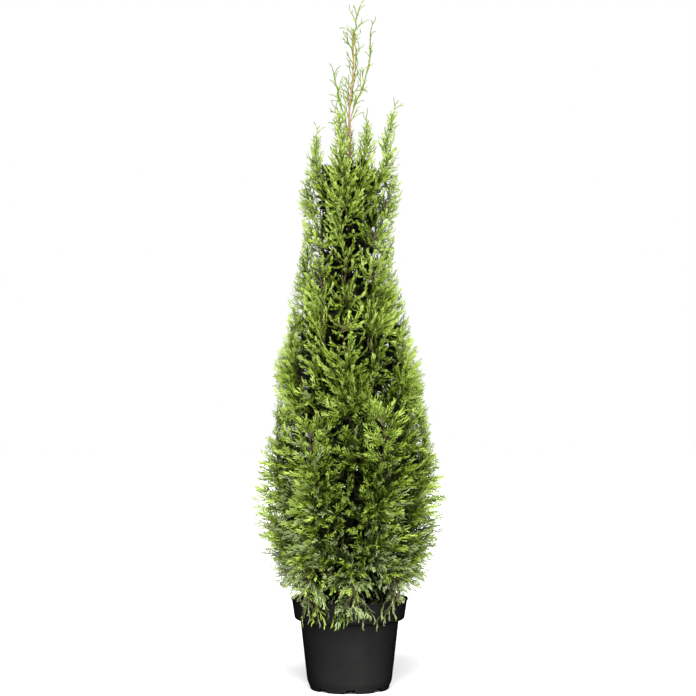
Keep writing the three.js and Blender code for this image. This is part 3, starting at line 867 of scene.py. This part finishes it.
limb_names = [node for node in masses if not node.startswith("leader")]
limb_points = np.vstack([limbs[node] for node in limb_names])
limb_ways = []
for node in limb_names:
    ways = np.gradient(limbs[node], axis=0)
    limb_ways.append(ways / np.linalg.norm(ways, axis=1)[:, None])
limb_ways = np.vstack(limb_ways)
limb_outs = np.array([outward(p) for p in limb_points])

heights = draw.uniform(0.152, CROWN_TOP, CANDIDATES)
angles = draw.uniform(0, 2 * math.pi, CANDIDATES)
radii = np.array([crown_reach(h, a) for h, a in zip(heights, angles)])
kept = radii > np.maximum(0.02, draw.random(CANDIDATES) * radii.max())
spots = np.zeros((0, 3))
chosen = []
for height, angle, radius in zip(heights[kept], angles[kept], radii[kept]):
    spot = stem_at(height) + radius * np.array([math.cos(angle), math.sin(angle), 0])
    gap = np.interp(height, *zip(*TIP_GAPS))
    if len(spots) == 0 or np.min(np.sum((spots - spot) ** 2, axis=1)) > gap**2:
        spots = np.vstack([spots, spot])
        chosen.append((spot, angle))

for angle in np.arange(0, 2 * math.pi, FRINGE_TURN):
    if abs(math.sin(angle)) > FRINGE_WITHIN:
        radius = draw.uniform(*FRINGE_RADII)
        height = draw.uniform(*FRINGE_HEIGHTS)
        chosen.append((np.array([radius * math.cos(angle), radius * math.sin(angle), height]), angle))

for spot, angle in chosen:
    out = np.array([math.cos(angle), math.sin(angle), 0])
    height = spot[2]
    half = "lower" if height < HALF_HEIGHT else "upper"
    if height > FRINGE_HEIGHTS[1]:
        spot = spot + out * (np.interp(height, PROUD_HEIGHTS, PROUD) * draw.uniform(0.0, 1.6) - 3) * MM
    if FRINGE_HEIGHTS[1] < height < HANG_BELOW:
        spot[2] += draw.uniform(0.3, 1) * (SIDE_RISE - (SIDE_RISE + HANG) * math.sin(angle) ** 2)
    lean = math.radians(np.interp(height, LEAN_HEIGHTS, LEAN_DEGREES) + draw.normal(0, 17))
    level_way = unit(out + draw.normal(0, 0.3, 3) * (1, 1, 0))
    growth = level_way * math.cos(lean) + np.array([0, 0, math.sin(lean)])

    # The twig leaves its limb where a slant of about forty degrees leads to the place.
    away = spot - limb_points
    span = np.linalg.norm(away, axis=1)
    slant = np.arccos(np.clip(np.sum(away * limb_ways, axis=1) / span, -1, 1))
    across = 1 - np.sum(limb_outs * out, axis=1)
    cost = span * (1 + 1.4 * np.abs(slant - TWIG_SLANT)) + 0.03 * across
    fringe = height < FRINGE_HEIGHTS[1]
    if fringe:
        cost = cost + (limb_points[:, 2] < height + FRINGE_FALL)  # these hang down from well above
    at = int(np.argmin(cost))
    direct = away[at] / span[at]
    way = unit(growth + 0.35 * direct)
    leave = unit(limb_ways[at] + direct)
    t = np.linspace(0, 1, 9)[:, None]
    handle = span[at] * (FRINGE_HANDLE if fringe else HANDLE)
    root = limb_points[at]
    curve = ((1 - t) ** 3 * root + 3 * (1 - t) ** 2 * t * (root + leave * handle)
             + 3 * (1 - t) * t**2 * (spot - way * handle) + t**3 * spot)
    run = np.concatenate([[0], np.cumsum(np.linalg.norm(np.diff(curve, axis=0), axis=1))])

    def on_twig(distance):
        return np.array([np.interp(distance, run, curve[:, k]) for k in range(3)])

    if fringe:
        forms = fringe_fans
    elif height < 0.25:
        forms = hanging_fans
    else:
        forms = broad_fans if height < 0.62 else slim_fans
    form = forms[draw.integers(len(forms))]
    reach = min(form.length * MM * draw.uniform(0.72, 1.0), run[-1] * 0.92)
    fork = on_twig(run[-1] - reach)
    twig = np.array([on_twig(d) for d in np.linspace(0, run[-1] - reach * 0.6, 5)])
    twig_parts[half].append(tube(twig, np.linspace(TWIG_THICK, TWIG_THIN, len(twig)), 3))

    tones = GREY_TONES if draw.random() < np.interp(height, *GREY_SHARE) else TONES
    # Painted light: the -0.4 * x term lifts sprays on the left, where the key light falls, to a lighter tone;
    # the noise and the random draw are the sprays' own differing tones. Fringe sprays are always a tone
    # darker.
    mood = 0.8 * noise.noise(Vector(spot * 14.0)) - 0.4 * spot[0] + draw.normal(0, 0.28)
    level = 1 if mood > BRIGHT_MOOD else -1 if mood < DARK_MOOD or fringe else 0
    straight = unit(spot - fork)
    face = plane_of(straight, out, PLANE_SPREAD)
    place_spray(form, fork, straight, face, reach, np.clip(way - straight, -0.5, 0.5), level, tones, half)
    hand = 1 if draw.random() < 0.5 else -1
    for share in SIDE_SPRAYS:
        base = on_twig(max(run[-1] - reach, 0.25 * run[-1]) * share / SIDE_SPRAYS[0])
        slope = hand * math.radians(draw.uniform(28, 48))
        leaning = turned_about(unit(on_twig(share * run[-1] + 0.01) - base), face, slope)
        length = min(form.length * MM * draw.uniform(0.55, 0.8), span[at] * 0.9)
        inside = depth_at(base + leaning * length)
        if inside < 0.004:
            length += max(inside - 0.004, -0.6 * length)
        if length > 0.02:
            twist = plane_of(leaning, out, PLANE_SPREAD)
            bow = np.clip((growth - leaning) * 0.3, -0.4, 0.4)
            place_spray(forms[draw.integers(len(forms))], base, leaning, twist, length, bow,
                        level, tones, half, max(inside, 0.0) * 0.8)
        hand = -hand

# Short inner twigs from the limbs and the stem carry near black foliage that fills the crown's heart; the
# near black is painted shade.
hearts = [(limb_points[k], limb_ways[k]) for k in range(0, len(limb_points), 2)]
HEART_TOP = 0.97
HEART_SHARE, HEART_COVER = 0.86, 0.027  # the hearts' reach, as a share of the crown's and below its outside
HEART_STARTS = (0.0, 0.025, 0.05, 0.075)  # how far out from the wood the sprays of one run begin
HEART_SHORTEST, HEART_LONGEST = 0.018, 0.062
NEXT_TURN = 2.4  # radians round the wood from one shoot to the next
hearts += [(stem_at(h), np.array([0, 0, 1.0])) for h in np.arange(0.19, HEART_TOP, 0.0035)]
turn = 0.0
for point, ahead in hearts:
    turn += NEXT_TURN
    aside = unit(np.cross(ahead, (math.cos(turn), math.sin(turn), 0.3)))
    way = unit(ahead * 0.7 + aside)
    out = outward(point + aside * 0.01)
    for start in HEART_STARTS:
        base = point + way * start
        flat = (base - stem_at(base[2]))[:2]
        room = crown_reach(base[2], math.atan2(flat[1], flat[0]))
        free = min(HEART_SHARE * room, room - HEART_COVER) - np.linalg.norm(flat)
        tip_share = abs(np.dot(way, unit(np.append(flat, 0)))) + 0.35
        length = min(free / tip_share, HEART_LONGEST)
        if length > HEART_SHORTEST and base[2] < HEART_TOP:
            half = "lower" if base[2] < HALF_HEIGHT else "upper"
            form = inner_fans[draw.integers(len(inner_fans))]
            place_spray(form, base, way, plane_of(way, out, 1.2), length, np.zeros(3), 0, HEART_TONES, half)

# ---- Leader ----
# The year's growth at the top is a sheaf of thin shoots with sky between them. A shoot is a string of
# three-sided rods with short side shoots by turns, each forked at its end.
ROD_FACES = np.array([(0, 1, 4), (0, 4, 3), (1, 2, 5), (1, 5, 4), (2, 0, 3), (2, 3, 5)])
SHOOT_RADIUS = 0.00135
STEM_SHOOTS = (1.085, 1.262, 0.013)  # from, to and every how far the stem's own top carries a shoot
rods = {"mid": [], "fresh": []}


def rod(start, end, thick, thin, tone):
    """A three-sided rod as six vertices."""
    way = unit(end - start)
    side = unit(np.cross(way, (0.3, 1.0, 0.1)))
    other = np.cross(way, side)
    around = [side * math.cos(a) + other * math.sin(a) for a in (0.4, 2.5, 4.6)]
    rods[tone].append([start + d * thick for d in around] + [end + d * thin for d in around])


def shoot(base, way, length, thick, order):
    """A shoot that wavers a little as it climbs and carries side shoots by turns."""
    point, travelled, hand = base, 0.0, 1 if draw.random() < 0.5 else -1
    plane = unit(np.cross(way, (draw.normal(0, 0.5), 1.0, draw.normal(0, 0.2))))
    while travelled < length:
        step = min(draw.uniform(0.006, 0.010), length - travelled + 0.001)
        way = unit(way + plane * hand * 0.10 + draw.normal(0, 0.05, 3) + np.array([0, 0, 0.03]))
        end = point + way * step
        left = 1 - travelled / length
        rod(point, end, thick * (0.6 + 0.4 * left), thick * (0.6 + 0.4 * (left - step / length)),
            "mid" if draw.random() < 0.65 else "fresh")
        if order and travelled > length * 0.12:
            lean = math.radians(draw.uniform(24, 40))
            aside = unit(plane * hand + draw.normal(0, 0.45, 3))
            branch = min(0.55 * (length - travelled) + 0.006, 0.034 if order == 2 else 0.010)
            branch *= draw.uniform(0.6, 1.1)
            shoot(end, unit(way * math.cos(lean) + aside * math.sin(lean)), branch, thick * 0.85, order - 1)
            hand = -hand
        point = end
        travelled += step


# The stem's own top carries short shoots to both sides, shorter towards its end.
hand = 1
for height in np.arange(*STEM_SHOOTS):
    aside = unit(np.array([hand, draw.normal(0, 0.7), 0]))
    left = (STEM_SHOOTS[1] - height) / (STEM_SHOOTS[1] - STEM_SHOOTS[0])
    length = draw.uniform(0.018, 0.028) * (0.7 + 0.5 * left)
    shoot(stem_at(height), unit(aside * 0.55 + (0, 0, 1.0)), length, SHOOT_RADIUS, 2)
    hand = -hand

SHOOT_END = 52  # the point of a limb where its last shoot takes over
FIRST_SHOOT = {"leader": 8, "shoulder": 34}
FIRST_ROD = {"leader": 12, "shoulder": 34}
SHOOT_COUNT = {"leader": 10, "shoulder": 5}
for node in masses:
    tier = node.split("_")[0]
    if tier not in FIRST_SHOOT:
        continue
    limb = limbs[node]
    way = unit(limb[-1] - limb[len(limb) // 2])
    for at in np.linspace(FIRST_SHOOT[tier], 50, SHOOT_COUNT[tier]).astype(int):
        ahead = unit(limb[at + 3] - limb[at - 3])
        aside = unit(draw.normal(size=3) * (1, 0.6, 0.2))
        length = draw.uniform(0.024, 0.040) * (1.1 - at / 70)
        shoot(limb[at], unit(ahead + 0.36 * aside), length, SHOOT_RADIUS, 2)
    for at in range(FIRST_ROD[tier], SHOOT_END, 2):
        rod(limb[at], limb[at + 2], SHOOT_RADIUS, SHOOT_RADIUS, "mid")
    shoot(limb[SHOOT_END], way, 0.8 * np.linalg.norm(limb[-1] - limb[SHOOT_END]), SHOOT_RADIUS, 2)
    if tier == "leader":
        continue
    turn = draw.uniform(0, 6)
    for at in np.arange(6, SHOOT_END + 1):
        for _ in range(2):
            turn += NEXT_TURN
            ahead = unit(limb[at + 3] - limb[at - 3])
            aside = unit(np.cross(ahead, (math.cos(turn), math.sin(turn), 0)))
            leaning = unit(ahead + aside * draw.uniform(0.45, 0.8))
            length = 0.040 * (1.15 - 0.75 * (at / SHOOT_END) ** 2) * draw.uniform(0.75, 1.1)
            mood = draw.normal(0, 0.5)
            level = 1 if mood > 0.5 else 0 if mood > -0.3 else -1
            form = small_fans[draw.integers(4)]
            face = plane_of(leaning, outward(limb[at]), 1.0)
            place_spray(form, limb[at], leaning, face, length, np.zeros(3), level, TONES, "upper")

# ---- Foliage pieces ----
# The leaves of one tone in one half of the crown are one joined piece. Scale leaves are satin, with a
# waxy bloom that mottles them, from near black green inside, painted shade, to lime at the young tips.
LEAF_COLOURS = {
    # Painted shade: the darker tones, down to the near black heart, are dealt to leaves by their depth in the
    # crown and stand in for its shaded inside; lime is the young tips' own colour.
    "heart": srgb(15, 21, 6),
    "shade": srgb(25, 36, 6),
    "deep": srgb(58, 75, 12),
    "mid": srgb(93, 115, 26),
    "fresh": srgb(127, 149, 50),
    "lime": srgb(156, 176, 88),
    "moss": srgb(55, 68, 26),
    "sage": srgb(92, 107, 54),
    "pale": srgb(136, 151, 100),
}
leaf_finish = {}
for tone, colour in LEAF_COLOURS.items():
    made, tree, shader, add = new_material("scale_leaf_" + tone, colour, 0.5)
    shader.inputs["Specular IOR Level"].default_value = 0.12
    place = add("ShaderNodeTexCoord")
    mottle = add("ShaderNodeTexNoise", [("Vector", place.outputs["Object"])], Scale=260.0, Detail=3.0)
    scales = add("ShaderNodeBump", [("Height", mottle.outputs["Fac"])], Strength=0.35, Distance=0.0004)
    tree.links.new(scales.outputs["Normal"], shader.inputs["Normal"])
    waxy = add("ShaderNodeMapRange", [("Value", mottle.outputs["Fac"])], **{"To Min": 0.38, "To Max": 0.66})
    tree.links.new(waxy.outputs["Result"], shader.inputs["Roughness"])
    leaf_finish[tone] = made

half_masses = {"lower": [n for n in masses if n.split("_")[0] in LOWER],
               "upper": [n for n in masses if n.split("_")[0] not in LOWER]}
for (tone, half), kinds in sorted(leaves.items()):
    parts = []
    for kind, faces in (("strap", STRAP_FACES), ("kite", KITE_FACES)):
        if not kinds[kind]:
            continue
        points = np.concatenate(kinds[kind])
        count, corners = points.shape[:2]
        offsets = (np.arange(count) * corners)[:, None, None]
        parts.append((points.reshape(-1, 3), (faces[None] + offsets).reshape(-1, 3)))
    if half == "upper" and rods.get(tone):
        points = np.array(rods[tone])
        offsets = (np.arange(len(points)) * 6)[:, None, None]
        parts.append((points.reshape(-1, 3), (ROD_FACES[None] + offsets).reshape(-1, 3)))
    piece = joined_mesh(f"leaves_{tone}_{half}", *gathered(parts))
    piece.data.materials.append(leaf_finish[tone])
    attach(piece, "root")
    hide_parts(*half_masses[half])

# ---- Twigs ----
# The thin wood between the limbs and the sprays, brown turning green, joined in a lower and an upper half.
# The limbs inside the crown are a piece of their own, in the stem's bark.
twig_bark, tree, shader, add = new_material("twig_bark", srgb(104, 84, 46), 0.75)
place = add("ShaderNodeTexCoord")
patches = add("ShaderNodeTexNoise", [("Vector", place.outputs["Object"])], Scale=60.0, Detail=4.0)
tint = two_tone(add, patches.outputs["Fac"], 0.4, (58, 44, 28), 0.62, (80, 78, 36))
tree.links.new(tint, shader.inputs["Base Color"])
relief = add("ShaderNodeBump", [("Height", patches.outputs["Fac"])], Strength=0.4, Distance=0.0005)
tree.links.new(relief.outputs["Normal"], shader.inputs["Normal"])
crown_limbs = joined_mesh("crown_limbs", *gathered(limb_parts))
for piece, replaced in ((crown_limbs, masses),
                        (joined_mesh("twigs_lower", *gathered(twig_parts["lower"])), half_masses["lower"]),
                        (joined_mesh("twigs_upper", *gathered(twig_parts["upper"])), half_masses["upper"])):
    smoothed(piece)
    piece.data.materials.append(bark if piece is crown_limbs else twig_bark)
    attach(piece, "root")
    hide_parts(*replaced)

# ---- Floor, light and camera ----
# A plain white studio: a wide pale floor, an even white surround, a large soft light from the front left, a
# weaker one from the right and a low one from the front. The camera stands four metres off, level, at half
# the plant's height.
floor = joined_mesh("floor", [(-9, -9, 0), (9, -9, 0), (9, 9, 0), (-9, 9, 0)], [(0, 1, 2, 3)])
paper, _, _, _ = new_material("white_floor", (0.92, 0.92, 0.92), 0.9)
floor.data.materials.append(paper)

world = bpy.data.worlds.new("studio")
world.use_nodes = True
tree = world.node_tree
surround = tree.nodes["Background"]
surround.inputs["Color"].default_value = (1, 1, 1, 1)
backdrop = tree.nodes.new("ShaderNodeLightPath")
strength = tree.nodes.new("ShaderNodeMapRange")
strength.inputs["To Min"].default_value = 0.32
strength.inputs["To Max"].default_value = 1.0
tree.links.new(backdrop.outputs["Is Camera Ray"], strength.inputs["Value"])
tree.links.new(strength.outputs["Result"], surround.inputs["Strength"])
bpy.context.scene.world = world


def soft_sun(name, azimuth, elevation, spread, power):
    """A broad, even light from far off; azimuth 0 is behind the camera and grows to its right."""
    lamp = bpy.data.lights.new(name, "SUN")
    lamp.angle = math.radians(spread)
    lamp.energy = power
    lit = linked(name, lamp)
    a, e = math.radians(azimuth), math.radians(elevation)
    toward = Vector((math.sin(a) * math.cos(e), -math.cos(a) * math.cos(e), math.sin(e)))
    lit.rotation_euler = toward.to_track_quat("Z", "Y").to_euler()


soft_sun("key_light", -14, 46, 34, 4.3)
soft_sun("fill_light", 28, 40, 50, 3.2)
soft_sun("front_light", 4, 12, 70, 2.2)
bpy.context.scene.view_settings.view_transform = "Standard"

CAMERA_AWAY = 4.0
CAMERA_HEIGHT = 0.655
SEEN_HEIGHT = 1.34  # of the frame, at the stem
view = bpy.data.cameras.new("camera")
view.sensor_width = 36
view.lens = 36 * CAMERA_AWAY / SEEN_HEIGHT
view.clip_end = 60
camera = linked("camera", view)
camera.location = (-0.003, -CAMERA_AWAY, CAMERA_HEIGHT)
camera.rotation_euler = (math.pi / 2, 0, 0)
bpy.context.scene.camera = camera
